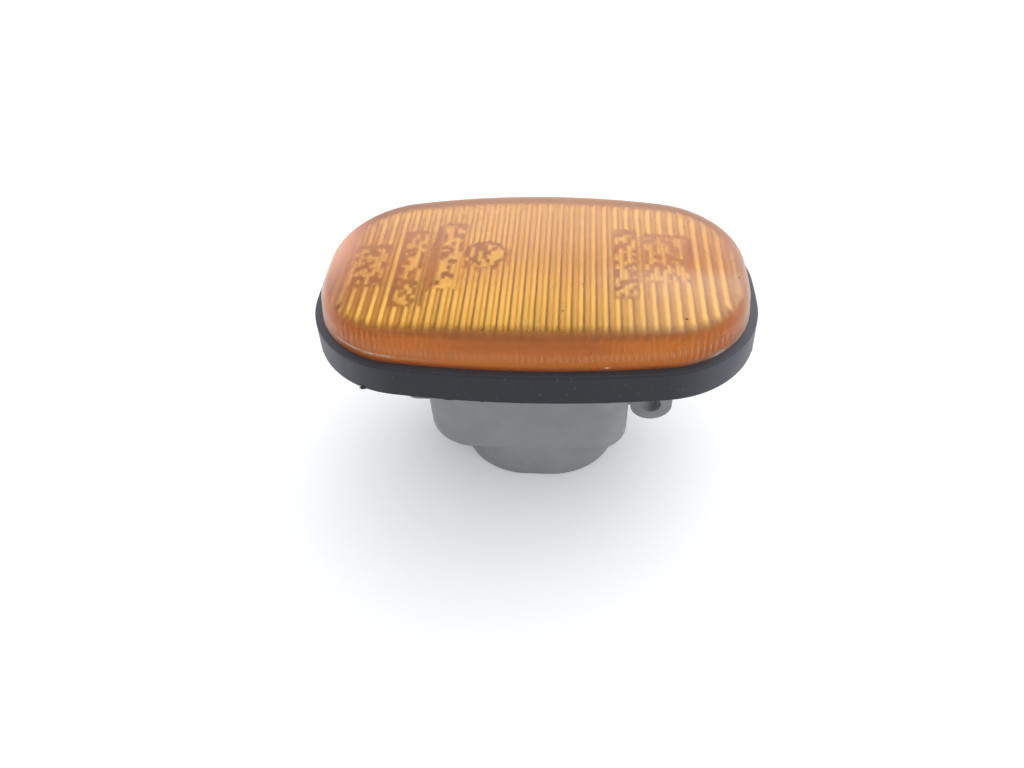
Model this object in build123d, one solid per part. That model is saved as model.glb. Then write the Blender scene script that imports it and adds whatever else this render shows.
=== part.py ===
from build123d import *
import os
from math import ceil, cos, hypot, radians, sqrt, tan

# Side repeater lamp. Origin: centre of the gasket's rear face, which lies on the body panel.
# X runs along the lamp, Z points out of the panel through the lens. Millimetres and degrees.

# Face outline: an oblong with bowed sides and ends, and large round corners
gasket_length = 84.0
gasket_width = 48.4
side_bow_radius = 200.0
end_bow_radius = 106.0
corner_radius = 19.7

# Gasket: outer wall round the lens, thin web between the housing flange and the panel
gasket_height = 6.2
gasket_wall = 1.8
gasket_web = 1.6
gasket_draft = 2.8
gasket_edge_radius = 0.45

# Lens: straight skirt in the gasket, drafted sides, crowned top with a rounded edge
lens_height = 13.95
lens_crown_radius = 400.0
lens_edge_radius = 3.0
lens_draft = 8.0
lens_side_wall = 2.2
lens_top_wall = 2.2
lens_fit = 0.05

# Prism flutes on the inside of the lens top run across the lamp
flute_pitch = 2.13
flute_angle = 43.0
flute_crest_radius = 0.3

# Blank pads that interrupt the flutes: centre along and across the lamp, length, width
blank_pads = (
    (-31.0, 0.2, 6.6, 12.0),
    (-23.0, -0.8, 4.8, 22.0),
    (-15.6, 2.4, 4.4, 20.0),
    (17.3, 0.7, 4.4, 20.0),
    (24.8, 2.5, 8.4, 14.0),
)
pad_corner_radius = 0.6
round_pad_x = -9.1
round_pad_y = 2.3
round_pad_diameter = 8.0

# Housing: flange under the lens, locating rib inside it, spigot for the panel cut-out
flange_thickness = 1.8
flange_fit = 0.15
rib_height = 2.0
rib_thickness = 1.5
rib_fit = 0.15
spigot_depth = 1.6
spigot_wall = 1.6
spigot_gap = 0.85
spigot_fit = 0.05

# Bulb well: oblong upper part, and below its floor a collar that ends in the rim
well_depth = 21.9
well_floor = 2.0
well_left_step = 6.2
well_right_step = 1.8
well_left_radius = 10.0
well_right_radius = 7.0
housing_wall = 1.8
collar_height = 8.9
collar_corner_radius = 14.0
collar_offset = 0.8
finger_gap = 3.5
rim_edge_radius = 0.4

# Pair of clip ears at the right end of the well, stiffening gussets at the left
ear_radius = 4.2
ear_hole_diameter = 4.0
ear_thickness = 3.0
ear_span = 16.0
ear_drop = 17.6
ear_reach = 4.8
gusset_reach = 4.6
gusset_drop = 17.2
gusset_corner_radius = 2.0

# Wedge-base bulb
bulb_diameter = 10.0
bulb_length = 26.8
wedge_width = 9.6
wedge_thickness = 2.4
wedge_height = 7.6
wedge_corner_radius = 1.0
wedge_fit = 0.3
pinch_height = 3.6
glass_wall = 0.7
lead_radius = 0.25
lead_fit = 0.05
lead_gap = 0.45
lead_bend_radius = 0.4
lead_fold_height = 5.0
filament_length = 4.8
filament_diameter = 0.6
filament_height = 20.5
filament_rise = 0.7

# Contacts: a bent strip each, spring finger above and blade in the plug shroud below
contact_spacing = 8.8
contact_width = 3.6
contact_thickness = 0.6
contact_fit = 0.05
contact_jog = 1.4
finger_flare = 0.5
blade_recess = 0.8
blade_margin = 2.0

# Bulb holder: twists into the well floor, lugs above, seal, flange and plug shroud below
holder_tip_wall = 1.4
holder_tip_step = 0.5
holder_tip_height = 6.9
holder_fit = 0.3
holder_flange_lip = 2.4
holder_flange_thickness = 2.0
lug_reach = 1.9
lug_thickness = 1.6
lug_width = 5.0
lug_count = 3
lug_fit = 0.3
seal_thickness = 1.2
seal_fit = 0.1
seal_chamfer = 0.3
shroud_width = 9.0
shroud_wall = 1.3
shroud_corner_radius = 2.0
shroud_recess = 0.6

# Levels along Z
flange_bottom = gasket_web
flange_top = flange_bottom + flange_thickness
floor_bottom = -well_depth
floor_top = floor_bottom + well_floor
rim = floor_bottom - collar_height
holder_flange_top = floor_bottom - seal_thickness
holder_flange_bottom = holder_flange_top - holder_flange_thickness
lug_top = floor_top + lug_thickness
holder_top = floor_top + holder_tip_height
shroud_bottom = rim + shroud_recess
wedge_bottom = holder_top - wedge_height
pinch_top = holder_top + pinch_height
bulb_top = wedge_bottom + bulb_length
filament_level = wedge_bottom + filament_height

# Slot in the holder for the bulb's wedge, and pockets for the two spring fingers
bulb_radius = bulb_diameter / 2
bulb_inner_radius = bulb_radius - glass_wall
lead_x = bulb_inner_radius - lead_gap - lead_radius
lead_y = wedge_thickness / 2 + lead_fit + lead_radius
finger_y = lead_y + lead_radius + contact_fit + contact_thickness / 2
contact_x = contact_spacing / 2
strip_half = contact_thickness / 2 + contact_fit
pocket_reach = finger_y + finger_flare + strip_half
pocket_width = contact_width + 2 * contact_fit
jog_top = wedge_bottom - 2 * lead_radius - lead_fit - contact_thickness
jog_bottom = jog_top - contact_jog
slot_floor = jog_bottom - contact_thickness

# Holder, collar and well follow from that slot, outwards
holder_tip_radius = hypot(contact_x + pocket_width / 2, pocket_reach) + holder_tip_wall
holder_neck_radius = holder_tip_radius + holder_tip_step
holder_flange_radius = holder_neck_radius + holder_flange_lip
lug_radius = holder_neck_radius + lug_reach
shroud_length = contact_spacing + contact_width + 2 * (blade_margin + shroud_wall)
collar_size = 2 * (holder_flange_radius + finger_gap + housing_wall)
well_left = collar_offset - collar_size / 2 - well_left_step
well_right = collar_offset + collar_size / 2 + well_right_step
ear_x = well_right + ear_reach

# Insets of each piece from the gasket's outline
lens_inset = gasket_wall + lens_fit
cavity_inset = lens_inset + lens_side_wall
flange_inset = gasket_wall + flange_fit
rib_inset = cavity_inset + rib_fit
spigot_inset = gasket_width / 2 - collar_size / 2 - spigot_gap - spigot_wall
web_inset = spigot_inset - spigot_fit

# Lens crown and flutes
crown_centre = lens_height - lens_crown_radius
flute_drop = flute_pitch / 2 * tan(radians(flute_angle))
flute_depth = flute_drop - flute_crest_radius * (1 / cos(radians(flute_angle)) - 1)
ceiling_allowance = lens_top_wall / 5


def upright(face, bottom, top):
    """Flat face extruded between two levels."""
    return Pos(0, 0, bottom) * extrude(face, top - bottom)


def disc(x, y, radius):
    """Circle whose seam lies away from the lamp's axes."""
    return Pos(x, y) * Rot(0, 0, 45) * Circle(radius)


def outline(inset):
    """Face outline drawn in evenly from the gasket's outer edge."""
    half_length = gasket_length / 2 - inset
    half_width = gasket_width / 2 - inset
    side = side_bow_radius - inset
    end = end_bow_radius - inset
    sides = disc(0, half_width - side, side) & disc(0, side - half_width, side)
    ends = disc(half_length - end, 0, end) & disc(end - half_length, 0, end)
    widest_corner = 0.85 * gasket_width / 2
    return fillet((sides & ends).vertices(), min(corner_radius, widest_corner) - inset)


def slab(inset, bottom, top):
    """Face outline extruded between two levels."""
    return upright(outline(inset), bottom, top)


def drafted_slab(inset, bottom, top, draft):
    """Face outline between two levels, its sides leaning in evenly by the draft angle."""
    lean = (top - bottom) * tan(radians(draft))
    return loft([Pos(0, 0, bottom) * outline(inset), Pos(0, 0, top) * outline(inset + lean)], ruled=True)


def ring(inset, wall, bottom, top):
    """Wall that follows the face outline."""
    return slab(inset, bottom, top) - slab(inset + wall, bottom, top)


def crown(depth):
    """Long cylinder whose upper side is the lens crown, lowered by a depth."""
    return Pos(0, 0, crown_centre) * Rot(90, 0, 0) * Cylinder(lens_crown_radius - depth, 2 * gasket_width)


def crown_level(x, depth):
    """Height of the lowered crown at a place along the lamp."""
    return crown_centre + sqrt((lens_crown_radius - depth) ** 2 - x**2)


def dome(inset, depth, edge_radius):
    """Skirt, drafted sides, crowned top and rounded edge, as one solid."""
    sides = drafted_slab(inset, gasket_height, lens_height + lens_top_wall, lens_draft)
    top = sides & crown(depth)
    lowest_edge = crown_level(gasket_length / 2 - inset, depth)
    radius = min(edge_radius, 0.9 * (lowest_edge - gasket_height))
    rounded = fillet(top.faces().sort_by(Axis.Z)[-1].edges(), radius)
    return rounded + slab(inset, flange_top, gasket_height)


def flute(x):
    """Two flanks of one prism flute, from its valleys on the lowered crown to a rounded crest."""
    start = (x, crown_level(x, lens_top_wall))
    end = (x + flute_pitch, crown_level(x + flute_pitch, lens_top_wall))
    crest = (x + flute_pitch / 2, (start[1] + end[1]) / 2 - flute_drop)
    return FilletPolyline(start, crest, end, radius=flute_crest_radius)


def fluted_block():
    """Block whose upper side is the fluted ceiling of the lens."""
    count = ceil(gasket_length / 2 / flute_pitch)
    flutes = [flute(k * flute_pitch) for k in range(-count, count)]
    half = count * flute_pitch
    below = Polyline(flutes[-1] @ 1, (half, 0), (-half, 0), flutes[0] @ 0)
    return extrude(Plane.XZ * make_face(flutes + [below]), gasket_width, both=True)


def pads():
    """Blank pads on the ceiling of the lens, level with the crests of the flutes."""
    shapes = [Pos(x, y) * RectangleRounded(length, width, pad_corner_radius)
              for x, y, length, width in blank_pads]
    shapes.append(Pos(round_pad_x, round_pad_y) * Circle(round_pad_diameter / 2))
    below = crown(lens_top_wall + flute_depth)
    return [upright(shape, 0, lens_height) - below for shape in shapes]


def make_lens():
    """Amber lens: hollow dome, fluted inside its top."""
    inner_edge = lens_edge_radius - lens_side_wall
    blank = dome(cavity_inset, lens_top_wall - ceiling_allowance, inner_edge)
    cavity = (blank & fluted_block()) - pads()
    return dome(lens_inset, 0, lens_edge_radius) - cavity


def make_gasket():
    """Rubber gasket: drafted outer wall round the lens, web under the housing flange."""
    body = drafted_slab(0, 0, gasket_height, gasket_draft)
    body = fillet(body.edges().group_by(Axis.Z)[-1], gasket_edge_radius)
    body -= slab(gasket_wall, gasket_web, gasket_height)
    return body - slab(web_inset, 0, gasket_web)


def well_outline(inset):
    """Plan of the well's upper part, with larger corners at its left end."""
    length = well_right - well_left - 2 * inset
    width = collar_size - 2 * inset
    plan = Pos((well_left + well_right) / 2, 0) * Rectangle(length, width)
    plan = fillet(plan.vertices().group_by(Axis.X)[0], well_left_radius - inset)
    return fillet(plan.vertices().group_by(Axis.X)[-1], well_right_radius - inset)


def collar_outline(inset):
    """Plan of the collar, flush with the long sides of the well."""
    size = collar_size - 2 * inset
    return Pos(collar_offset, 0) * RectangleRounded(size, size, collar_corner_radius - inset)


def make_well():
    """Bulb well: hollow upper part, floor and collar skirt."""
    collar = upright(collar_outline(0), rim, floor_top)
    collar = fillet(collar.edges().group_by(Axis.Z)[0], rim_edge_radius)
    return upright(well_outline(0), floor_bottom, flange_top) + collar


def well_hollow():
    """Room in the well above its floor, and in the collar below it."""
    room = upright(well_outline(housing_wall), floor_top, flange_top)
    return room + upright(collar_outline(housing_wall), rim, floor_bottom)


def on_bulb_axis(shape):
    """Shape moved from the lamp's axis to the bulb's axis."""
    return Pos(collar_offset, 0, 0) * shape


def spokes(radius, width, bottom, top, turn):
    """Blocks that reach out evenly from the bulb's axis, with round ends."""
    arm = Pos(radius / 2, 0) * Rectangle(radius, width)
    arms = [Rot(0, 0, turn + 360 / lug_count * k) * arm for k in range(lug_count)]
    return upright((Sketch() + arms) & Circle(radius), bottom, top)


def bulb_hole():
    """Round hole in the well floor, with notches that let the holder's lugs in before the twist."""
    hole = upright(Circle(holder_neck_radius + holder_fit), floor_bottom, floor_top)
    notch_width = lug_width + 2 * lug_fit
    return hole + spokes(lug_radius + lug_fit, notch_width, floor_bottom, floor_top, 180 / lug_count)


def pair(profile):
    """Upright profile along the lamp, given thickness as two plates across the ear span."""
    front = Pos(0, ear_thickness - ear_span / 2, 0) * extrude(Plane.XZ * profile, ear_thickness)
    return [front, mirror(front, Plane.XZ)]


def clip_ears():
    """Two round-ended ears beside the well with one cross hole for a retaining clip."""
    root = well_right - housing_wall / 2
    size = (ear_x + ear_radius - root, ear_drop + flange_bottom)
    arm = Pos(root, -ear_drop) * Rectangle(*size, align=Align.MIN)
    eye = Pos(ear_x, -ear_drop)
    return pair(arm + eye * Circle(ear_radius) - eye * Circle(ear_hole_diameter / 2))


def gussets():
    """Two ribs between the flange and the left end of the well, in line with the ears."""
    size = (gusset_reach + housing_wall / 2, gusset_drop + flange_bottom)
    rib = Pos(well_left - gusset_reach, -gusset_drop) * Rectangle(*size, align=Align.MIN)
    outer_corner = rib.vertices().group_by(Axis.Y)[0].sort_by(Axis.X)[0]
    return pair(fillet(outer_corner, gusset_corner_radius))


def make_housing():
    """Grey moulded housing: flange, rib, spigot, bulb well, collar, ears and gussets in one piece."""
    body = slab(flange_inset, flange_bottom, flange_top)
    body += ring(rib_inset, rib_thickness, flange_top, flange_top + rib_height)
    body += ring(spigot_inset, spigot_wall, -spigot_depth, flange_bottom)
    body += make_well()
    body += clip_ears()
    body += gussets()
    return body - well_hollow() - on_bulb_axis(bulb_hole())


def bulb_slot():
    """Slot for the bulb's wedge, with a pocket beside it for each spring finger."""
    slot = Rectangle(wedge_width + 2 * wedge_fit, wedge_thickness + 2 * wedge_fit)
    for side in (-1, 1):
        middle = Pos(side * contact_x, side * (pocket_reach - strip_half) / 2)
        slot += middle * Rectangle(pocket_width, pocket_reach + strip_half)
    return upright(slot, slot_floor, holder_top)


def make_holder():
    """Twist-in bulb holder: neck with lugs, slot for bulb and contacts, flange, plug shroud."""
    body = upright(Circle(holder_neck_radius), holder_flange_top, lug_top)
    body += upright(Circle(holder_tip_radius), lug_top, holder_top)
    body += spokes(lug_radius, lug_width, floor_top, lug_top, 0)
    body += upright(Circle(holder_flange_radius), holder_flange_bottom, holder_flange_top)
    shroud = RectangleRounded(shroud_length, shroud_width, shroud_corner_radius)
    shroud -= offset(shroud, -shroud_wall)
    body += upright(shroud, shroud_bottom, holder_flange_bottom)
    slits = [Pos(side * contact_x, 0) * Rectangle(pocket_width, 2 * strip_half) for side in (-1, 1)]
    body -= upright(Sketch() + slits, holder_flange_bottom, slot_floor)
    return body - bulb_slot()


def make_seal():
    """Flat rubber ring between the holder's flange and the well floor."""
    inner = holder_neck_radius + seal_fit
    size = (holder_flange_radius - inner, seal_thickness)
    section = Pos(inner, holder_flange_top) * Rectangle(*size, align=Align.MIN)
    section = chamfer(section.vertices().group_by(Axis.X)[-1], seal_chamfer)
    return revolve(Plane.XZ * section, Axis.Z)


def make_contact(side):
    """Bent brass strip: flared spring finger, jog to the middle, blade in the plug shroud."""
    points = (
        (side * (finger_y + finger_flare), holder_top),
        (side * finger_y, holder_top - 2 * finger_flare),
        (side * finger_y, jog_top),
        (0, jog_bottom),
        (0, shroud_bottom + blade_recess),
    )
    strip = trace(Polyline(*points), contact_thickness)
    blank = extrude(Plane.YZ * strip, contact_width / 2, both=True)
    return Pos(side * contact_x, 0, 0) * blank


def make_bulb_glass():
    """Clear envelope: flat wedge below, pinched into a round tube and a dome above."""
    base = RectangleRounded(wedge_width, wedge_thickness, wedge_corner_radius)
    dome_level = bulb_top - bulb_radius
    room_level = pinch_top + bulb_inner_radius
    glass = upright(base, wedge_bottom, holder_top)
    glass += loft([Pos(0, 0, holder_top) * base, Pos(0, 0, pinch_top) * Circle(bulb_radius)])
    glass += upright(Circle(bulb_radius), pinch_top, dome_level)
    glass += Pos(0, 0, dome_level) * Sphere(bulb_radius)
    glass -= upright(Circle(bulb_inner_radius), room_level, dome_level)
    for level in (room_level, dome_level):
        glass -= Pos(0, 0, level) * Sphere(bulb_inner_radius)
    for side in (-1, 1):
        channel = Pos(side * lead_x, 0) * Circle(lead_radius + lead_fit)
        glass -= upright(channel, wedge_bottom, room_level)
    return glass


def make_lead(side):
    """Wire from the filament down through the glass, folded up against the wedge's face."""
    fold = wedge_bottom - lead_fit - lead_radius
    points = (
        (side * filament_length / 2, 0, filament_level),
        (side * lead_x, 0, pinch_top + bulb_radius),
        (side * lead_x, 0, fold),
        (side * lead_x, side * lead_y, fold),
        (side * lead_x, side * lead_y, wedge_bottom + lead_fold_height),
    )
    path = FilletPolyline(*points, radius=lead_bend_radius)
    section = Plane(origin=path @ 0, z_dir=path % 0) * Circle(lead_radius)
    return sweep(section, path)


def make_filament():
    """Coiled filament as a slim arched rod between the two leads."""
    half = filament_length / 2 - lead_radius
    middle = (0, 0, filament_level + filament_rise)
    arch = ThreePointArc((-half, 0, filament_level), middle, (half, 0, filament_level))
    section = Plane(origin=arch @ 0, z_dir=arch % 0) * Circle(filament_diameter / 2)
    return sweep(section, arch)


nodes = {
    "lens": make_lens(),
    "gasket": make_gasket(),
    "housing": make_housing(),
    "bulb_holder": on_bulb_axis(make_holder()),
    "holder_seal": on_bulb_axis(make_seal()),
    "contact_left": on_bulb_axis(make_contact(-1)),
    "contact_right": on_bulb_axis(make_contact(1)),
    "bulb_glass": on_bulb_axis(make_bulb_glass()),
    "bulb_lead_left": on_bulb_axis(make_lead(-1)),
    "bulb_lead_right": on_bulb_axis(make_lead(1)),
    "bulb_filament": on_bulb_axis(make_filament()),
}

os.makedirs("parts", exist_ok=True)
for name, shape in nodes.items():
    export_step(shape, f"parts/{name}.step")
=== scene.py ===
from math import ceil, floor, radians, tan
from random import Random

import bmesh
import bpy
from bpy.props import FloatProperty, FloatVectorProperty, PointerProperty
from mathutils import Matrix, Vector
from mathutils.bvhtree import BVHTree


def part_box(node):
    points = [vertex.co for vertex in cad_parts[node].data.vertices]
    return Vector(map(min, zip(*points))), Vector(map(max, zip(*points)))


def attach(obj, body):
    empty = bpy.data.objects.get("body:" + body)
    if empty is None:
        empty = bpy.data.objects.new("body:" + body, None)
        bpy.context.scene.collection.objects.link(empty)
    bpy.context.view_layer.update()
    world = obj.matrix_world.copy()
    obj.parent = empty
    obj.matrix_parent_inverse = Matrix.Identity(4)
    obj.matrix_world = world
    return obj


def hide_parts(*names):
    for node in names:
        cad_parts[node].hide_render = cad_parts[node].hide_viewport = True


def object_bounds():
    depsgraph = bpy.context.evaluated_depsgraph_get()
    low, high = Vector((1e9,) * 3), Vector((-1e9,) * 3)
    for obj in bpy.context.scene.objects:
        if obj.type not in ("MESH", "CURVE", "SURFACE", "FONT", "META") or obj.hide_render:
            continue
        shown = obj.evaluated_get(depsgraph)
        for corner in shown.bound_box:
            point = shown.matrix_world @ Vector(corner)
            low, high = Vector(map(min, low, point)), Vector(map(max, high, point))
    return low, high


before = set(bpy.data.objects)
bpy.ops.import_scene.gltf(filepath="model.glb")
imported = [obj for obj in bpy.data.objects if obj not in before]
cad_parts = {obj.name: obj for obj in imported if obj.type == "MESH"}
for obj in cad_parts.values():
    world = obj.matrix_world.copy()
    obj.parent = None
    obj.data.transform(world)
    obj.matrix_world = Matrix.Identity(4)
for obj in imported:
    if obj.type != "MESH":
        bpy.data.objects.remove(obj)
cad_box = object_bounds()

bl_info = {
    "name": "Side Repeater Lamp",
    "version": (1, 0, 0),
    "blender": (4, 5, 0),
    "location": "View3D > Sidebar > Lamp",
    "description": "Dresses the side repeater lamp: amber lens, rubber gasket, grey housing, bulb and stage",
    "category": "Object",
}

MM = 0.001
BODY = "root"
IMAGE_WIDTH = 1024
OUTSIDE = "outside"

# Merging, shading and telling apart the faces of a carried-over mesh
MERGE_DISTANCE = 0.001 * MM
SHARP_ANGLE = radians(32)
OUTSIDE_DISTANCE = 0.15 * MM

# Where the lens is weathered and where light is painted on it, from and to: along (x), across (y), up (z),
# or by how level it is
# Both ends and the far edge are paler: partly weathering, partly painted sheen
LEFT_END_X = (-39.5 * MM, -31.0 * MM)
RIGHT_END_X = (33.0 * MM, 40.0 * MM)
FAR_EDGE_Y = (17.0 * MM, 22.0 * MM)
RIM_X = (37.0 * MM, 39.5 * MM)
# Painted reflection: a pale patch where a window's soft reflection falls, at the near side right of the
# middle
PAINTED_REFLECTION_X = (4.0 * MM, 26.0 * MM)
PAINTED_REFLECTION_Y = (-6.0 * MM, 0.0)
# Towards the far side the top's skin is paler and denser: partly weathering, partly painted reflection of
# the bright sky
BACK_TONE_Y = (-8.0 * MM, 17.0 * MM)
TOP_COVER_Y = (-19.0 * MM, 8.0 * MM)
# Painted shade: a dark band at the near side where the flutes end
BAND_Y = (-17.0 * MM, -11.0 * MM)
BAND_Z = (11.6 * MM, 12.7 * MM)
# Painted highlight: pale ticks on the skin over the ribs inside the side wall
TICK_FOOT_Z = (7.8 * MM, 8.4 * MM)
TICK_TOP_Z = (9.0 * MM, 9.8 * MM)
TICK_HALF_PITCH = 0.53 * MM
SIDE_NORMAL = (0.70, 0.985)

# How strong each kind of weathering and of painted light is, in the skin's colour and in its cover
FAR_SHARE = 0.8
BAND_TONE = 0.55
PAINTED_REFLECTION_TONE = 0.6
TICK_TONE = 0.6
# Covers for the paler ends and far edge are partly painted sheen; those for the reflection patch and the
# dark band are painted reflection and painted shade
AREA_COVER = {"edge": 0.14, "left_end": 0.36, "rim": 0.06, "painted_reflection": 0.13, "band": 0.08}
CLOUD_COVER = 0.08
SCUFF_COVER = 0.75
SPECK_COVER = 0.85
SKIN_ROOM = 1.5

# Marks on the lens: scuffs at its lower edge, one pale chip, dark specks (place along and across, radius)
SCUFF_LEVEL = 7.5 * MM
SCUFF_LINE = (0.10 * MM, 0.45 * MM)
SCUFF_Y = (-6.0 * MM, 2.0 * MM)
LEFT_SCUFF_START_X = (-39.0 * MM, -35.0 * MM)
LEFT_SCUFF_END_X = (-30.0 * MM, -12.0 * MM)
RIGHT_SCUFF_X = (24.0 * MM, 34.0 * MM)
RIGHT_SCUFF_Z = (6.4 * MM, 7.8 * MM)
CHIP_CENTRE = (13.7 * MM, -22.1 * MM, 6.8 * MM)
CHIP_RADIUS = 0.22 * MM
CHIP_STRETCH = (0.3, 0.15, 1.0)
LENS_SPECKS = (
    (26.9 * MM, -16.0 * MM, 0.30 * MM),
    (37.3 * MM, -3.7 * MM, 0.26 * MM),
    (9.3 * MM, -8.0 * MM, 0.20 * MM),
    (6.0 * MM, -15.3 * MM, 0.20 * MM),
)
SPECK_COLOUR = (0.05, 0.03, 0.02)

# Short broken prisms on the blank pads inside the lens
PRISM_HALF_WIDTH = 0.40 * MM
PRISM_LENGTH = 0.62 * MM
PRISM_ANGLE = radians(43)
PRISM_SHARE = 0.75
PRISM_SEED = 7
LEVEL_NORMAL = 0.985
PROBE_DEPTH = 0.5 * MM
PROBE_REACH = 1.0 * MM

# Ribs inside the lens's side wall, in millimetres as a bump takes them
RIB_HEIGHT = 0.16

# Bright coat of the housing: its bulb well, and all above its flange
WELL_MIDDLE_X = -1.4 * MM
WELL_HALF_SIZES = (19.61 * MM, 15.61 * MM)
WELL_LEFT_CORNER = 9.1 * MM
WELL_RIGHT_CORNER = 6.1 * MM
WELL_FLOOR_Z = -20.9 * MM
FLANGE_Z = 2.6 * MM

# Dust on the gasket with a painted highlight along its upper rim, and painted sheen towards both ends
DUST_AND_HIGHLIGHT_RIM_Z = (5.8 * MM, 6.2 * MM)
SHEEN_END_X = (22.0 * MM, 40.0 * MM)

# Flash left on the gasket's lower edge: place along and across, turn, length
FLASH_BITS = (
    (-30.2 * MM, -21.3 * MM, radians(-12), 1.2 * MM),
    (-14.0 * MM, -23.5 * MM, radians(-4), 2.6 * MM),
    (-8.0 * MM, -23.8 * MM, radians(-2), 1.2 * MM),
    (-0.9 * MM, -23.9 * MM, radians(0), 1.5 * MM),
    (14.2 * MM, -23.4 * MM, radians(4), 1.6 * MM),
    (22.5 * MM, -22.6 * MM, radians(7), 1.0 * MM),
    (40.7 * MM, -9.6 * MM, radians(72), 1.3 * MM),
)
FLASH_THICKNESS = 0.45 * MM
FLASH_LEVEL = -0.05 * MM
FLASH_RAGGED = 0.6

COIL_TURNS = 16.0
COIL_RADIUS = 0.22 * MM
COIL_WIRE = 0.04 * MM

AMBER_IOR = 1.49
GLASS_IOR = 1.5
WHITE = (1.0, 1.0, 1.0, 1.0)
BLACK = (0.0, 0.0, 0.0, 1.0)

# Floor, and how far the bright and the shaded parts of the sky reach, as cosines
FLOOR_HALF = 3.0
SKY_COLOUR = (0.97, 0.985, 1.0, 1.0)
WINDOW_REACH = (0.66, 1.0)
SHADE_REACH = (0.35, 0.95)


def colour(name, description, default):
    """Property for a linear colour."""
    return FloatVectorProperty(
        name=name, description=description, subtype="COLOR", size=3, min=0, max=1, default=default)


def share(name, description, default):
    """Property for a share from 0 to 1."""
    return FloatProperty(name=name, description=description, subtype="FACTOR", min=0, max=1, default=default)


def length(name, description, default):
    """Property for a length in metres."""
    return FloatProperty(
        name=name, description=description, subtype="DISTANCE", unit="LENGTH", default=default)


def amount(name, description, default):
    """Property for a plain number."""
    return FloatProperty(name=name, description=description, default=default)


class LampFinishSettings(bpy.types.PropertyGroup):
    """Colours and wear of the lamp's finishes."""

    amber: colour("Amber", "Tint of light that goes into the lens and comes out again", (1.0, 0.64, 0.23))
    amber_depth: colour("Amber Depth", "Colour that the lens turns to where it is thick", (0.99, 0.92, 0.45))
    amber_density: amount("Amber Density", "How fast the lens takes up light", 200.0)
    skin_top: colour("Skin Top", "Weathered skin on top of the lens", (0.58, 0.19, 0.13))
    # Paler towards the far side: partly weathering, partly painted reflection of the bright sky
    skin_back_and_reflection: colour("Skin Back", "Weathered skin on top, towards the far side", (0.82, 0.43, 0.28))
    skin_side: colour("Skin Side", "Weathered skin on the sides of the lens", (1.0, 0.26, 0.08))
    # Paler ends: partly weathering, partly painted sheen
    skin_rim_and_sheen: colour("Skin Rim", "Weathered skin at both outer ends", (1.0, 0.70, 0.54))
    # Paler ends and far edge: partly weathering, partly painted sheen
    skin_edge_and_sheen: colour("Skin Edge", "Weathered skin at the ends and the far edge", (1.0, 0.56, 0.40))
    # Painted shade: the dark band where the flutes end at the near side
    painted_shade_band: colour("Skin Band", "Dull band where the flutes end at the near side", (0.30, 0.12, 0.07))
    # Pale colour of the real scuffs and chip, also used for the painted reflection and the painted highlight
    # over the ribs
    scuff_and_highlight: colour("Skin Scuff", "Scuffs along the lower edge of the lens", (0.95, 0.74, 0.62))
    skin_near: share("Skin Near", "Cover of the skin at the near side of the top", 0.08)
    # Denser skin at the far side: partly weathering, partly painted reflection of the bright sky
    skin_far_and_reflection: share("Skin Far", "Cover of the skin at the far side of the top", 0.50)
    skin_low: share("Skin Low", "Cover of the skin on the sides", 0.40)
    rubber: colour("Rubber", "Colour of the gasket and the holder's seal", (0.017, 0.018, 0.025))
    # Pale colour of the real dust specks, also used for the painted highlight on the upper rim and the
    # painted sheen at both ends
    rubber_dust_and_sheen: colour("Rubber Dust", "Colour of the fine dust on the rubber", (0.20, 0.21, 0.26))
    housing_grey: colour("Housing Grey", "Colour of the moulded housing", (0.335, 0.34, 0.355))
    reflector: colour("Reflector", "Colour of the housing under the lens", (0.97, 0.97, 0.97))
    holder_grey: colour("Holder Grey", "Colour of the bulb holder", (0.42, 0.42, 0.42))
    brass: colour("Brass", "Colour of the two contacts", (0.72, 0.52, 0.24))
    wire: colour("Wire", "Colour of the bulb's leads", (0.55, 0.53, 0.50))
    skin: length("Skin", "Distance of the weathered skin from the lens", 0.02 * MM)


class LampStageSettings(bpy.types.PropertyGroup):
    """Camera, light and floor."""

    floor_white: colour("Floor White", "Colour of the floor", (0.86, 0.87, 0.88))
    floor_lift: share("Floor Lift", "Extra white on the floor, which lights no matt surface", 0.12)
    sky: amount("Sky", "Mean brightness of the even sky", 0.90)
    sky_slope: FloatVectorProperty(
        name="Sky Slope", description="How the sky brightens along each axis", default=(0.20, 0.06, 0.10))
    shade: amount("Shade", "How much darker the sky is at the near side", 0.55)
    window: amount("Window", "Brightness of the soft bright part of the sky", 1.4)
    window_side: FloatVectorProperty(
        name="Window Side", description="Direction of the bright part of the sky", subtype="DIRECTION",
        default=(0.30, 0.78, 0.55))
    camera_place: FloatVectorProperty(
        name="Camera Place", description="Where the camera stands", subtype="TRANSLATION", unit="LENGTH",
        default=(0.0083208, -0.1156227, 0.1012150))
    camera_turn: FloatVectorProperty(
        name="Camera Turn", description="How the camera is turned", subtype="EULER", unit="ROTATION",
        default=(radians(43.64242), radians(2.55052), radians(4.06074)))
    focal_pixels: amount("Focal Pixels", "Focal length in pixels of a 1024 pixel wide image", 774.34)


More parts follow.
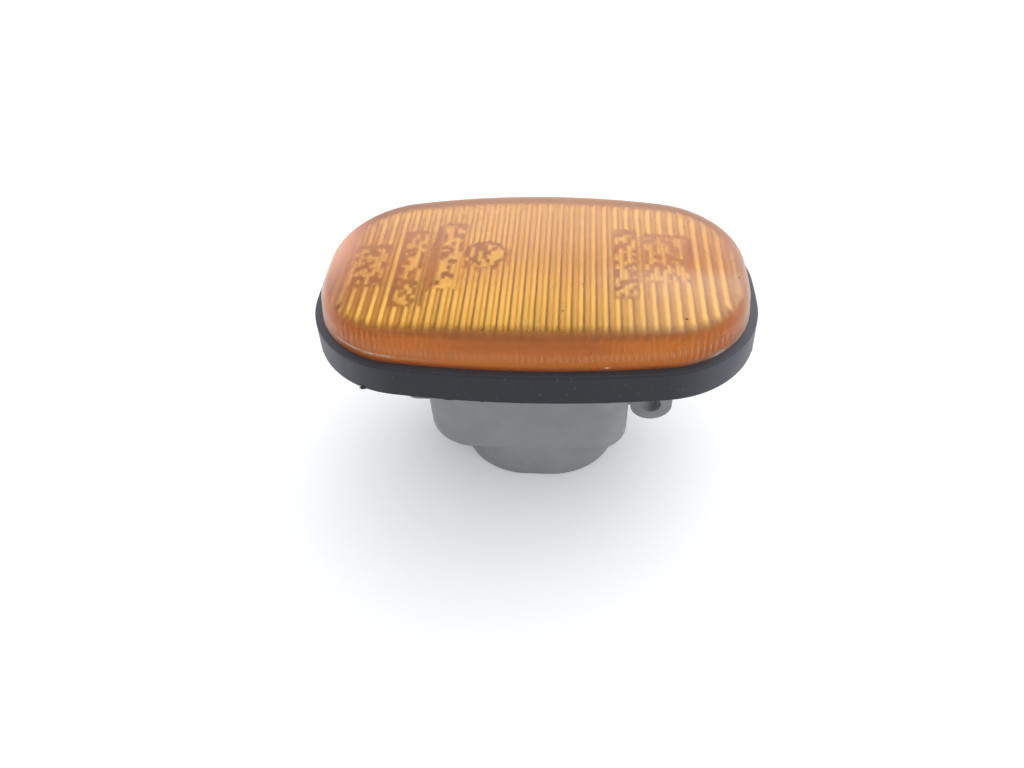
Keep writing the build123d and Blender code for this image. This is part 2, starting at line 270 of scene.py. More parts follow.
class Graph:
    """Adds nodes to one tree and joins them."""

    def __init__(self, tree):
        self.tree = tree
        self.nodes = tree.nodes
        self.links = tree.links

    def node(self, kind, **settings):
        made = self.nodes.new(kind)
        for name, value in settings.items():
            setattr(made, name, value)
        return made

    def feed(self, socket, value):
        if isinstance(value, bpy.types.NodeSocket):
            self.links.new(value, socket)
        else:
            socket.default_value = value

    def math(self, operation, *values):
        made = self.node("ShaderNodeMath", operation=operation)
        for socket, value in zip(made.inputs, values):
            self.feed(socket, value)
        return made.outputs[0]

    def total(self, *values):
        result = values[0]
        for value in values[1:]:
            result = self.math("ADD", result, value)
        return result

    def product(self, *values):
        result = values[0]
        for value in values[1:]:
            result = self.math("MULTIPLY", result, value)
        return result

    def mix(self, factor, first, second):
        made = self.node("ShaderNodeMix", data_type="RGBA")
        self.feed(made.inputs[0], factor)
        self.feed(made.inputs[6], first)
        self.feed(made.inputs[7], second)
        return made.outputs[2]

    def blend(self, factor, first, second):
        made = self.node("ShaderNodeMix", data_type="FLOAT")
        self.feed(made.inputs[0], factor)
        self.feed(made.inputs[2], first)
        self.feed(made.inputs[3], second)
        return made.outputs[0]

    def remap(self, value, low, high, to_low=0.0, to_high=1.0):
        made = self.node("ShaderNodeMapRange", interpolation_type="SMOOTHSTEP")
        for socket, number in zip(made.inputs, (value, low, high, to_low, to_high)):
            self.feed(socket, number)
        return made.outputs[0]

    def noise(self, vector, scale, detail=2.0, roughness=0.5):
        made = self.node("ShaderNodeTexNoise")
        self.feed(made.inputs["Vector"], vector)
        self.feed(made.inputs["Scale"], scale)
        self.feed(made.inputs["Detail"], detail)
        self.feed(made.inputs["Roughness"], roughness)
        return made.outputs["Fac"]

    def place(self):
        return self.node("ShaderNodeTexCoord").outputs["Object"]

    def normal(self):
        return self.node("ShaderNodeTexCoord").outputs["Normal"]

    def split(self, vector):
        made = self.node("ShaderNodeSeparateXYZ")
        self.feed(made.inputs[0], vector)
        return made.outputs

    def dot(self, first, second):
        made = self.node("ShaderNodeVectorMath", operation="DOT_PRODUCT")
        self.feed(made.inputs[0], first)
        self.feed(made.inputs[1], second)
        return made.outputs["Value"]

    def bump(self, height):
        """Normal from a height in millimetres."""
        made = self.node("ShaderNodeBump")
        self.feed(made.inputs["Strength"], 1.0)
        self.feed(made.inputs["Distance"], MM)
        self.feed(made.inputs["Height"], height)
        return made.outputs["Normal"]

    def group(self, tree, **values):
        made = self.node("ShaderNodeGroup", node_tree=tree)
        for name, value in values.items():
            self.feed(made.inputs[name.replace("_", " ").title()], value)
        return made.outputs


def new_group(name, inputs, outputs):
    """Shader node group with named sockets."""
    tree = bpy.data.node_groups.new(name, "ShaderNodeTree")
    for socket, kind, default in inputs:
        made = tree.interface.new_socket(socket, in_out="INPUT", socket_type=kind)
        made.default_value = default
    for socket, kind in outputs:
        tree.interface.new_socket(socket, in_out="OUTPUT", socket_type=kind)
    graph = Graph(tree)
    return tree, graph, graph.node("NodeGroupInput").outputs, graph.node("NodeGroupOutput").inputs


def grain_group():
    """Cloudy and fine variation of a moulded surface."""
    inputs = (("Cloud Scale", "NodeSocketFloat", 120.0), ("Fine Scale", "NodeSocketFloat", 3000.0))
    outputs = (("Cloud", "NodeSocketFloat"), ("Fine", "NodeSocketFloat"))
    tree, graph, given, out = new_group("grain", inputs, outputs)
    place = graph.place()
    cloud = graph.noise(place, given["Cloud Scale"], 4.0, 0.6)
    graph.feed(out["Cloud"], graph.remap(cloud, 0.3, 0.7))
    graph.feed(out["Fine"], graph.noise(place, given["Fine Scale"], 3.0, 0.6))
    return tree


def speck_group():
    """Sparse small specks, such as dust."""
    inputs = (("Scale", "NodeSocketFloat", 1500.0), ("Size", "NodeSocketFloat", 0.2),
              ("Amount", "NodeSocketFloat", 0.3))
    tree, graph, given, out = new_group("specks", inputs, (("Mask", "NodeSocketFloat"),))
    cells = graph.node("ShaderNodeTexVoronoi", feature="F1")
    graph.feed(cells.inputs["Vector"], graph.place())
    graph.feed(cells.inputs["Scale"], given["Scale"])
    core = graph.product(given["Size"], 0.5)
    inside = graph.remap(cells.outputs["Distance"], core, given["Size"], 1.0, 0.0)
    chosen = graph.math("LESS_THAN", graph.split(cells.outputs["Color"])[0], given["Amount"])
    graph.feed(out["Mask"], graph.product(inside, chosen))
    return tree


def spot_group():
    """Soft spot with a ragged border round a place on the surface."""
    inputs = (("Centre", "NodeSocketVector", (0.0, 0.0, 0.0)), ("Radius", "NodeSocketFloat", 0.5 * MM),
              ("Stretch", "NodeSocketVector", (1.0, 1.0, 1.0)))
    tree, graph, given, out = new_group("spot", inputs, (("Mask", "NodeSocketFloat"),))
    place = graph.place()
    offset = graph.node("ShaderNodeVectorMath", operation="SUBTRACT")
    graph.feed(offset.inputs[0], place)
    graph.feed(offset.inputs[1], given["Centre"])
    scaled = graph.node("ShaderNodeVectorMath", operation="MULTIPLY")
    graph.feed(scaled.inputs[0], offset.outputs[0])
    graph.feed(scaled.inputs[1], given["Stretch"])
    far = graph.node("ShaderNodeVectorMath", operation="LENGTH")
    graph.feed(far.inputs[0], scaled.outputs[0])
    uneven = graph.remap(graph.noise(place, 4000.0, 2.0), 0.2, 0.8, 0.6, 1.4)
    ragged = graph.product(far.outputs["Value"], uneven)
    core = graph.product(given["Radius"], 0.6)
    graph.feed(out["Mask"], graph.remap(ragged, core, given["Radius"], 1.0, 0.0))
    return tree


def rib_group():
    """Even ribs that run up and down a side wall, as a wave from 0 to 1."""
    inputs = (("Half Pitch", "NodeSocketFloat", 0.5 * MM),)
    tree, graph, given, out = new_group("ribs", inputs, (("Wave", "NodeSocketFloat"),))
    x, y = graph.split(graph.place())[:2]
    facing_x, facing_y = (graph.math("ABSOLUTE", part) for part in graph.split(graph.normal())[:2])
    lengthwise = graph.math("GREATER_THAN", facing_y, facing_x)
    rise = graph.math("PINGPONG", graph.blend(lengthwise, y, x), given["Half Pitch"])
    graph.feed(out["Wave"], graph.math("DIVIDE", rise, given["Half Pitch"]))
    return tree


def new_material(name):
    """Empty node material with its Principled shader, ready to be fed."""
    material = bpy.data.materials.new(name)
    material.use_nodes = True
    graph = Graph(material.node_tree)
    shader = material.node_tree.nodes["Principled BSDF"]
    return material, graph, shader


def rgba(value, level=1.0):
    return (*[level * part for part in value], 1.0)


def amber_plastic(finish):
    """Clear amber, worn outside, with a ribbed side wall inside."""
    material, graph, shader = new_material("amber_plastic")
    up = graph.split(graph.normal())[2]
    outside = graph.node("ShaderNodeAttribute", attribute_name=OUTSIDE).outputs["Fac"]
    inside = graph.math("SUBTRACT", 1.0, outside)
    cloud = graph.group(shared_group("grain"), cloud_scale=90.0)["Cloud"]
    amber = graph.mix(cloud, rgba(finish.amber), rgba(finish.amber, 0.95))
    graph.feed(shader.inputs["Base Color"], amber)
    sidewall = graph.product(inside, graph.remap(graph.math("ABSOLUTE", up), 0.3, 0.5, 1.0, 0.0))
    worn = graph.blend(cloud, 0.29, 0.37)
    smooth = graph.total(0.05, graph.product(sidewall, 0.25))
    graph.feed(shader.inputs["Roughness"], graph.blend(outside, smooth, worn))
    graph.feed(shader.inputs["Transmission Weight"], 1.0)
    graph.feed(shader.inputs["IOR"], AMBER_IOR)
    graph.feed(shader.inputs["Specular Tint"], (1.0, 0.65, 0.35, 1.0))
    wave = graph.group(shared_group("ribs"), half_pitch=TICK_HALF_PITCH)["Wave"]
    graph.feed(shader.inputs["Normal"], graph.bump(graph.product(sidewall, wave, RIB_HEIGHT)))
    absorption = graph.node("ShaderNodeVolumeAbsorption")
    absorption.inputs["Color"].default_value = rgba(finish.amber_depth)
    absorption.inputs["Density"].default_value = finish.amber_density
    output = material.node_tree.nodes["Material Output"]
    graph.links.new(absorption.outputs[0], output.inputs["Volume"])
    return material


def skin_areas(graph, place):
    """Masks of the lens's weathered areas and of the light painted on it, by name."""
    x, y, z = graph.split(place)
    side = graph.remap(graph.split(graph.normal())[2], *SIDE_NORMAL, 1.0, 0.0)
    above = graph.math("SUBTRACT", 1.0, side)
    left_end = graph.remap(x, *LEFT_END_X, 1.0, 0.0)
    either_end = graph.math("MAXIMUM", left_end, graph.remap(x, *RIGHT_END_X, 0.0, FAR_SHARE))
    wave = graph.group(shared_group("ribs"), half_pitch=TICK_HALF_PITCH)["Wave"]
    tick_row = graph.product(graph.remap(z, *TICK_FOOT_Z), graph.remap(z, *TICK_TOP_Z, 1.0, 0.0))
    return {
        "side": side,
        "left_end": left_end,
        # Ends and far edge: paler, partly from weathering and partly from painted sheen
        "edge": graph.math("MAXIMUM", either_end, graph.remap(y, *FAR_EDGE_Y, 0.0, FAR_SHARE)),
        "rim": graph.product(graph.remap(graph.math("ABSOLUTE", x), *RIM_X), side),
        # Painted reflection: a window's soft reflection, at the near side right of the middle
        "painted_reflection": graph.product(graph.remap(x, *PAINTED_REFLECTION_X), graph.remap(y, *PAINTED_REFLECTION_Y, 1.0, 0.0), above),
        # Painted shade: dark band where the flutes end at the near side
        "band": graph.product(side, graph.remap(y, *BAND_Y, 1.0, 0.0), graph.remap(z, *BAND_Z)),
        # Painted highlight: pale ticks over the ribs inside the side wall
        "ticks": graph.product(side, tick_row, graph.remap(wave, 0.5, 1.0)),
    }


def skin_tone(graph, areas, y, finish):
    """Colour of the skin under its scuffs and specks."""
    # Paler towards the far side: partly weathering, partly painted reflection of the bright sky
    tone = graph.mix(graph.remap(y, *BACK_TONE_Y), rgba(finish.skin_top), rgba(finish.skin_back_and_reflection))
    layers = (
        (areas["side"], finish.skin_side),
        # Painted shade band
        (graph.product(areas["band"], BAND_TONE), finish.painted_shade_band),
        # Painted reflection
        (graph.product(areas["painted_reflection"], PAINTED_REFLECTION_TONE), finish.scuff_and_highlight),
        # Ends and far edge: partly weathering, partly painted sheen
        (areas["edge"], finish.skin_edge_and_sheen),
        (areas["rim"], finish.skin_rim_and_sheen),
        # Painted highlight over the ribs
        (graph.product(areas["ticks"], TICK_TONE), finish.scuff_and_highlight),
    )
    for mask, layer in layers:
        tone = graph.mix(mask, tone, rgba(layer))
    return tone


def skin_cover(graph, areas, y, cloud, finish):
    """Cover of the skin under its scuffs and specks."""
    # Denser towards the far side: partly weathering, partly painted reflection of the bright sky
    top = graph.remap(y, *TOP_COVER_Y, finish.skin_near, finish.skin_far_and_reflection)
    uneven = graph.product(graph.math("SUBTRACT", cloud, 0.5), CLOUD_COVER)
    added = [graph.product(areas[name], strength) for name, strength in AREA_COVER.items()]
    return graph.total(graph.blend(areas["side"], top, finish.skin_low), uneven, *added)


def scuff_mask(graph, place):
    """Pale scuffs along the lens's lower edge, and one chip."""
    x, y, z = graph.split(place)
    height = graph.math("ABSOLUTE", graph.math("SUBTRACT", z, SCUFF_LEVEL))
    line = graph.remap(height, *SCUFF_LINE, 1.0, 0.0)
    stretch = graph.product(graph.remap(x, *LEFT_SCUFF_START_X), graph.remap(x, *LEFT_SCUFF_END_X, 1.0, 0.0))
    right = graph.product(graph.remap(x, *RIGHT_SCUFF_X), graph.remap(z, *RIGHT_SCUFF_Z, 1.0, 0.0))
    either = graph.math("MAXIMUM", graph.product(stretch, line), right)
    torn = graph.remap(graph.noise(place, 700.0, 5.0, 0.7), 0.25, 0.6, 0.25, 1.0)
    scuff = graph.product(either, torn, graph.remap(y, *SCUFF_Y, 1.0, 0.0))
    chip = graph.group(shared_group("spot"), centre=CHIP_CENTRE, radius=CHIP_RADIUS, stretch=CHIP_STRETCH)
    return graph.math("MAXIMUM", scuff, chip["Mask"])


def lens_speck_mask(graph):
    """Dark specks on the lens."""
    dark = 0.0
    for x, y, radius in LENS_SPECKS:
        speck = graph.group(shared_group("spot"), centre=(x, y, 0.0), radius=radius, stretch=(1.0, 1.0, 0.0))
        dark = graph.math("MAXIMUM", speck["Mask"], dark)
    return dark


def skin_wear_and_painted_light(finish):
    """Thin dull skin, laid twice on the lens: weathering, scuffs along its lower edge, a chip and specks,
    with painted sheen at the ends and far edge, a painted reflection, painted highlights over the ribs and a
    painted shade band.
    """
    material, graph, shader = new_material("skin_wear_and_painted_light")
    place = graph.place()
    y = graph.split(place)[1]
    grain = graph.group(shared_group("grain"), cloud_scale=70.0, fine_scale=1400.0)
    areas = skin_areas(graph, place)
    scuff = scuff_mask(graph, place)
    dark = lens_speck_mask(graph)
    tone = graph.mix(scuff, skin_tone(graph, areas, y, finish), rgba(finish.scuff_and_highlight))
    graph.feed(shader.inputs["Base Color"], graph.mix(dark, tone, rgba(SPECK_COLOUR)))
    cover = skin_cover(graph, areas, y, grain["Cloud"], finish)
    cover = graph.math("MAXIMUM", cover, graph.product(scuff, SCUFF_COVER))
    cover = graph.math("MAXIMUM", cover, graph.product(dark, SPECK_COVER))
    # Light passes both skins, so each lets through the square root of what the pair does
    through = graph.math("SQRT", graph.math("SUBTRACT", 1.0, cover))
    graph.feed(shader.inputs["Alpha"], graph.math("SUBTRACT", 1.0, through))
    graph.feed(shader.inputs["Roughness"], graph.blend(grain["Cloud"], 0.6, 0.8))
    graph.feed(shader.inputs["Sheen Weight"], 1.0)
    graph.feed(shader.inputs["Sheen Roughness"], 0.3)
    graph.feed(shader.inputs["Sheen Tint"], (1.0, 0.92, 0.88, 1.0))
    graph.feed(shader.inputs["Normal"], graph.bump(graph.product(grain["Fine"], 0.004)))
    return material


def black_rubber(finish):
    """Matt black rubber with fine dust, paler along its upper rim from dust and a painted highlight, and
    towards both ends from painted sheen.
    """
    material, graph, shader = new_material("black_rubber")
    place = graph.split(graph.place())
    grain = graph.group(shared_group("grain"), cloud_scale=160.0, fine_scale=3500.0)
    dust = graph.group(shared_group("specks"), scale=1300.0, size=0.22, amount=0.10)["Mask"]
    # Upper rim: dust, partly painted highlight
    rim = graph.remap(place["Z"], *DUST_AND_HIGHLIGHT_RIM_Z, 0.0, 0.12)
    # Both ends: painted sheen
    ends = graph.remap(graph.math("ABSOLUTE", place["X"]), *SHEEN_END_X, 0.0, 0.30)
    rim = graph.math("MAXIMUM", rim, ends)
    base = graph.mix(grain["Cloud"], rgba(finish.rubber), rgba(finish.rubber, 1.25))
    base = graph.mix(graph.math("MAXIMUM", graph.product(dust, 0.45), rim), base, rgba(finish.rubber_dust_and_sheen))
    graph.feed(shader.inputs["Base Color"], base)
    graph.feed(shader.inputs["Roughness"], graph.blend(grain["Cloud"], 0.45, 0.55))
    graph.feed(shader.inputs["Sheen Weight"], 0.08)
    graph.feed(shader.inputs["Sheen Roughness"], 0.4)
    graph.feed(shader.inputs["Sheen Tint"], (0.85, 0.88, 1.0, 1.0))
    graph.feed(shader.inputs["Specular IOR Level"], 0.34)
    graph.feed(shader.inputs["Normal"], graph.bump(graph.product(grain["Fine"], 0.03)))
    return material


def grey_plastic(finish):
    """Grey moulding, coated bright under the lens and in its bulb well."""
    material, graph, shader = new_material("grey_plastic")
    x, y, z = graph.split(graph.place())
    grain = graph.group(shared_group("grain"), cloud_scale=120.0, fine_scale=3000.0)
    grey = graph.mix(grain["Cloud"], rgba(finish.housing_grey), rgba(finish.housing_grey, 0.9))
    middle = graph.math("SUBTRACT", x, WELL_MIDDLE_X)
    corner = graph.blend(graph.math("GREATER_THAN", middle, 0.0), WELL_LEFT_CORNER, WELL_RIGHT_CORNER)
    squares = []
    for offset, half in zip((middle, y), WELL_HALF_SIZES):
        past = graph.math("SUBTRACT", graph.math("ABSOLUTE", offset), graph.math("SUBTRACT", half, corner))
        gap = graph.math("MAXIMUM", past, 0.0)
        squares.append(graph.product(gap, gap))
    inside = graph.math("LESS_THAN", graph.math("SQRT", graph.total(*squares)), corner)
    in_well = graph.product(inside, graph.math("GREATER_THAN", z, WELL_FLOOR_Z))
    coated = graph.math("MAXIMUM", in_well, graph.math("GREATER_THAN", z, FLANGE_Z))
    graph.feed(shader.inputs["Base Color"], graph.mix(coated, grey, rgba(finish.reflector)))
    graph.feed(shader.inputs["Roughness"], graph.blend(grain["Cloud"], 0.45, 0.6))
    graph.feed(shader.inputs["Normal"], graph.bump(graph.product(grain["Fine"], 0.012)))
    return material


def plain_moulding(name, base, roughness):
    """Plain finish with cloudy and fine variation."""
    material, graph, shader = new_material(name)
    grain = graph.group(shared_group("grain"), cloud_scale=200.0, fine_scale=4000.0)
    graph.feed(shader.inputs["Base Color"], graph.mix(grain["Cloud"], rgba(base), rgba(base, 0.8)))
    graph.feed(shader.inputs["Roughness"], graph.blend(grain["Cloud"], roughness - 0.08, roughness + 0.08))
    graph.feed(shader.inputs["Normal"], graph.bump(graph.product(grain["Fine"], 0.01)))
    return material


def metal(name, base, roughness):
    """Plain finish on bare metal."""
    material = plain_moulding(name, base, roughness)
    material.node_tree.nodes["Principled BSDF"].inputs["Metallic"].default_value = 1.0
    return material


def clear_glass():
    """Clear glass with faint streaks."""
    material, graph, shader = new_material("clear_glass")
    cloud = graph.group(shared_group("grain"), cloud_scale=300.0)["Cloud"]
    clear = graph.mix(cloud, (0.98, 0.98, 0.98, 1.0), (0.94, 0.95, 0.95, 1.0))
    graph.feed(shader.inputs["Base Color"], clear)
    graph.feed(shader.inputs["Roughness"], graph.blend(cloud, 0.0, 0.03))
    graph.feed(shader.inputs["Transmission Weight"], 1.0)
    graph.feed(shader.inputs["IOR"], GLASS_IOR)
    return material


GROUP_MAKERS = {"grain": grain_group, "specks": speck_group, "spot": spot_group, "ribs": rib_group}


def shared_group(name):
    """Shared shader group, built the first time it is asked for."""
    return bpy.data.node_groups.get(name) or GROUP_MAKERS[name]()


def paint(node, material):
    """Gives a carried-over node its material."""
    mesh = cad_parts[node].data
    mesh.materials.clear()
    mesh.materials.append(material)


def link(name, mesh, material):
    """Object at the origin with one material."""
    mesh.materials.clear()
    mesh.materials.append(material)
    piece = bpy.data.objects.new(name, mesh)
    bpy.context.scene.collection.objects.link(piece)
    return piece


def merged_copy(node, name):
    """Copy of a node's mesh with its loose triangles merged and smooth shading up to its sharp edges."""
    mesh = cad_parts[node].data.copy()
    mesh.name = name
    built = bmesh.new()
    built.from_mesh(mesh)
    bmesh.ops.remove_doubles(built, verts=built.verts, dist=MERGE_DISTANCE)
    built.to_mesh(mesh)
    built.free()
    for stale in ("custom_normal", "sharp_edge", "sharp_face"):
        if stale in mesh.attributes:
            mesh.attributes.remove(mesh.attributes[stale])
    mesh.shade_smooth()
    mesh.set_sharp_from_angle(angle=SHARP_ANGLE)
    return mesh


def is_level(tree, start):
    """Whether a ray up from a point meets a level face that looks down."""
    normal = tree.ray_cast(start, Vector((0.0, 0.0, 1.0)), PROBE_REACH)[1]
    return normal is not None and normal.z < -LEVEL_NORMAL


def pad_faces(built, lowest):
    """Level faces inside the lens top that are wider than a flute's crest."""
    tree = BVHTree.FromBMesh(built)
    found = []
    for face in built.faces:
        middle = face.calc_center_median()
        if face.normal.z < -LEVEL_NORMAL and middle.z > lowest:
            starts = [middle + Vector((side * PRISM_HALF_WIDTH, 0.0, -PROBE_DEPTH)) for side in (-1, 1)]
            if any(is_level(tree, start) for start in starts):
                found.append(face)
    return found


def cut_along(built, faces, axis, step):
    """Cuts faces at even steps along one axis."""
    places = [vertex.co[axis] for face in faces for vertex in face.verts]
    direction = Vector((float(axis == 0), float(axis == 1), 0.0))
    for index in range(ceil(min(places) / step), floor(max(places) / step) + 1):
        edges = {edge for face in faces for edge in face.edges}
        corners = {vertex for face in faces for vertex in face.verts}
        cut = bmesh.ops.bisect_plane(
            built, geom=[*faces, *edges, *corners], dist=MERGE_DISTANCE,
            plane_co=direction * index * step, plane_no=direction)
        faces = [item for item in cut["geom"] if isinstance(item, bmesh.types.BMFace)]
    return faces


def raise_prisms(mesh, lowest):
    """Covers the blank pads with short broken prisms."""
    built = bmesh.new()
    built.from_mesh(mesh)
    built.normal_update()
    pads = bmesh.ops.dissolve_faces(built, faces=pad_faces(built, lowest))["region"]
    for axis, step in enumerate((PRISM_HALF_WIDTH, PRISM_LENGTH)):
        pads = cut_along(built, pads, axis, step)
    own = set(pads)
    draw = Random(PRISM_SEED)
    depth = PRISM_HALF_WIDTH * tan(PRISM_ANGLE)
    corners = sorted({vertex for face in pads for vertex in face.verts}, key=lambda vertex: tuple(vertex.co))
    for vertex in corners:
        odd = round(vertex.co.x / PRISM_HALF_WIDTH) % 2 == 1
        if odd and own.issuperset(vertex.link_faces) and draw.random() < PRISM_SHARE:
            vertex.co.z -= depth
    for face in bmesh.ops.triangulate(built, faces=pads)["faces"]:
        face.smooth = False
    built.to_mesh(mesh)
    built.free()


def mark_outside(mesh):
    """Marks with 1 the faces that lie on the mesh's convex outside, and with 0 the others."""
    hull = bmesh.new()
    for vertex in mesh.vertices:
        hull.verts.new(vertex.co)
    bmesh.ops.convex_hull(hull, input=hull.verts)
    tree = BVHTree.FromBMesh(hull)
    hull.free()
    mark = mesh.attributes.new(OUTSIDE, "FLOAT", "FACE")
    for face in mesh.polygons:
        distance = tree.find_nearest(face.center)[3]
        mark.data[face.index].value = float(distance < OUTSIDE_DISTANCE)


def lower_top(mesh, base, drop):
    """Lowers what lies above a level, most at the top, to make room for a skin."""
    top = max(vertex.co.z for vertex in mesh.vertices)
    for vertex in mesh.vertices:
        if vertex.co.z > base:
            vertex.co.z -= drop * (vertex.co.z - base) / (top - base)


def skin_mesh(mesh, name, lowest, offset):
    """Two copies of the outside faces above a level, one over the other, moved out a little."""
    built = bmesh.new()
    built.from_mesh(mesh)
    mark = built.faces.layers.float[OUTSIDE]
    hidden = [face for face in built.faces if face[mark] < 0.5 or face.calc_center_median().z < lowest]
    bmesh.ops.delete(built, geom=hidden, context="FACES")
    built.normal_update()
    lower = list(built.verts)
    bmesh.ops.duplicate(built, geom=[*lower, *built.edges, *built.faces])
    built.normal_update()
    for vertex in built.verts:
        vertex.co += vertex.normal * offset
    for vertex in lower:
        vertex.co -= vertex.normal * offset / 2
    skin = bpy.data.meshes.new(name)
    built.to_mesh(skin)
    built.free()
    skin.shade_smooth()
    return skin


def new_geometry_tree(name, inputs):
    """Geometry node tree with a geometry, a material and named values as its inputs."""
    tree = bpy.data.node_groups.new(name, "GeometryNodeTree")
    tree.is_modifier = True
    tree.interface.new_socket("Geometry", in_out="INPUT", socket_type="NodeSocketGeometry")
    tree.interface.new_socket("Material", in_out="INPUT", socket_type="NodeSocketMaterial")
    for socket, kind in inputs:
        tree.interface.new_socket(socket, in_out="INPUT", socket_type=kind)
    tree.interface.new_socket("Geometry", in_out="OUTPUT", socket_type="NodeSocketGeometry")
    graph = Graph(tree)
    return tree, graph, graph.node("NodeGroupInput").outputs, graph.node("NodeGroupOutput").inputs


def finish_tree(graph, geometry, given, out):
    """Ends a geometry tree: real mesh, smooth shading, material."""
    real = graph.node("GeometryNodeRealizeInstances")
    smooth = graph.node("GeometryNodeSetShadeSmooth")
    painted = graph.node("GeometryNodeSetMaterial")
    graph.feed(real.inputs["Geometry"], geometry)
    graph.feed(smooth.inputs["Geometry"], real.outputs[0])
    graph.feed(painted.inputs["Geometry"], smooth.outputs[0])
    graph.feed(painted.inputs["Material"], given["Material"])
    graph.feed(out["Geometry"], painted.outputs[0])


def flash_tree():
    """Ragged bit of rubber on each point, turned and stretched by the point's own values."""
    tree, graph, given, out = new_geometry_tree("flash", (("Thickness", "NodeSocketFloat"),))
    ball = graph.node("GeometryNodeMeshIcoSphere")
    graph.feed(ball.inputs["Radius"], 0.5)
    graph.feed(ball.inputs["Subdivisions"], 3)
    ragged = graph.node("GeometryNodeSetPosition")
    noise = graph.node("ShaderNodeTexNoise")
    graph.feed(noise.inputs["Scale"], 3.0)
    shift = graph.node("ShaderNodeVectorMath", operation="MULTIPLY_ADD")
    graph.feed(shift.inputs[0], noise.outputs["Color"])
    graph.feed(shift.inputs[1], [FLASH_RAGGED] * 3)
    graph.feed(shift.inputs[2], [-FLASH_RAGGED / 2] * 3)
    graph.feed(ragged.inputs["Geometry"], ball.outputs["Mesh"])
    graph.feed(ragged.inputs["Offset"], shift.outputs[0])
    turn = graph.node("GeometryNodeInputNamedAttribute", data_type="FLOAT")
    graph.feed(turn.inputs["Name"], "turn")
    angles = graph.node("ShaderNodeCombineXYZ")
    graph.feed(angles.inputs["Z"], turn.outputs[0])
    stretch = graph.node("GeometryNodeInputNamedAttribute", data_type="FLOAT")
    graph.feed(stretch.inputs["Name"], "length")
    scale = graph.node("ShaderNodeCombineXYZ")
    graph.feed(scale.inputs["X"], stretch.outputs[0])
    graph.feed(scale.inputs["Y"], given["Thickness"])
    graph.feed(scale.inputs["Z"], given["Thickness"])
    placed = graph.node("GeometryNodeInstanceOnPoints")
    graph.feed(placed.inputs["Points"], given["Geometry"])
    graph.feed(placed.inputs["Instance"], ragged.outputs[0])
    graph.feed(placed.inputs["Rotation"], angles.outputs[0])
    graph.feed(placed.inputs["Scale"], scale.outputs[0])
    finish_tree(graph, placed.outputs[0], given, out)
    return tree


def coil_tree():
    """Coil of fine wire along X about a middle point."""
    inputs = (("Turns", "NodeSocketFloat"), ("Radius", "NodeSocketFloat"), ("Wire", "NodeSocketFloat"),
              ("Length", "NodeSocketFloat"), ("Middle", "NodeSocketVector"))
    tree, graph, given, out = new_geometry_tree("coil", inputs)
    spiral = graph.node("GeometryNodeCurveSpiral")
    graph.feed(spiral.inputs["Resolution"], 14)
    graph.feed(spiral.inputs["Rotations"], given["Turns"])
    graph.feed(spiral.inputs["Start Radius"], given["Radius"])
    graph.feed(spiral.inputs["End Radius"], given["Radius"])
    graph.feed(spiral.inputs["Height"], given["Length"])
    half = graph.node("ShaderNodeCombineXYZ")
    graph.feed(half.inputs["Z"], graph.product(given["Length"], -0.5))
    centred = graph.node("GeometryNodeTransform")
    graph.feed(centred.inputs["Geometry"], spiral.outputs[0])
    graph.feed(centred.inputs["Translation"], half.outputs[0])
    laid = graph.node("GeometryNodeTransform")
    graph.feed(laid.inputs["Geometry"], centred.outputs[0])
    graph.feed(laid.inputs["Rotation"], (0.0, radians(90), 0.0))
    graph.feed(laid.inputs["Translation"], given["Middle"])
    section = graph.node("GeometryNodeCurvePrimitiveCircle")
    graph.feed(section.inputs["Resolution"], 8)
    graph.feed(section.inputs["Radius"], given["Wire"])
    tube = graph.node("GeometryNodeCurveToMesh")
    graph.feed(tube.inputs["Curve"], laid.outputs[0])
    graph.feed(tube.inputs["Profile Curve"], section.outputs[0])
    graph.feed(tube.inputs["Fill Caps"], True)
    finish_tree(graph, tube.outputs[0], given, out)
    return tree


def point_mesh(name, rows):
    """Loose points, each with its own turn and length."""
    mesh = bpy.data.meshes.new(name)
    mesh.from_pydata([(*row[:2], FLASH_LEVEL) for row in rows], [], [])
    turns = mesh.attributes.new("turn", "FLOAT", "POINT")
    lengths = mesh.attributes.new("length", "FLOAT", "POINT")
    for index, row in enumerate(rows):
        turns.data[index].value, lengths.data[index].value = row[2:]
    return mesh


def grown(name, mesh, tree, material, values):
    """Plain mesh object made by a geometry node tree from a starting mesh."""
    seed = bpy.data.objects.new(f"{name}_seed", mesh)
    bpy.context.scene.collection.objects.link(seed)
    modifier = seed.modifiers.new(name, "NODES")
    modifier.node_group = tree
    for socket in tree.interface.items_tree:
        if socket.in_out == "INPUT" and socket.name in values:
            modifier[socket.identifier] = values[socket.name]
        elif socket.in_out == "INPUT" and socket.name == "Material":
            modifier[socket.identifier] = material
    graph = bpy.context.evaluated_depsgraph_get()
    made = bpy.data.meshes.new_from_object(seed.evaluated_get(graph))
    made.name = name
    bpy.data.objects.remove(seed)
    return link(name, made, material)


class LAMP_OT_lens(bpy.types.Operator):
    """Dress the amber lens"""

    bl_idname = "lamp.lens"
    bl_label = "Amber Lens"

    def execute(self, context):
        finish = context.scene.lamp_finish
        mesh = merged_copy("lens", "amber_lens_shell")
        rim_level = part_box("gasket")[1][2]
        raise_prisms(mesh, rim_level)
        mark_outside(mesh)
        lower_top(mesh, rim_level, SKIN_ROOM * finish.skin)
        lens = link("amber_lens_shell", mesh, amber_plastic(finish))
        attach(lens, BODY)
        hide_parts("lens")
        sheets = skin_mesh(mesh, "lens_skin", rim_level, finish.skin)
        skin = link("lens_skin", sheets, skin_wear_and_painted_light(finish))
        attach(skin, BODY)
        return {"FINISHED"}


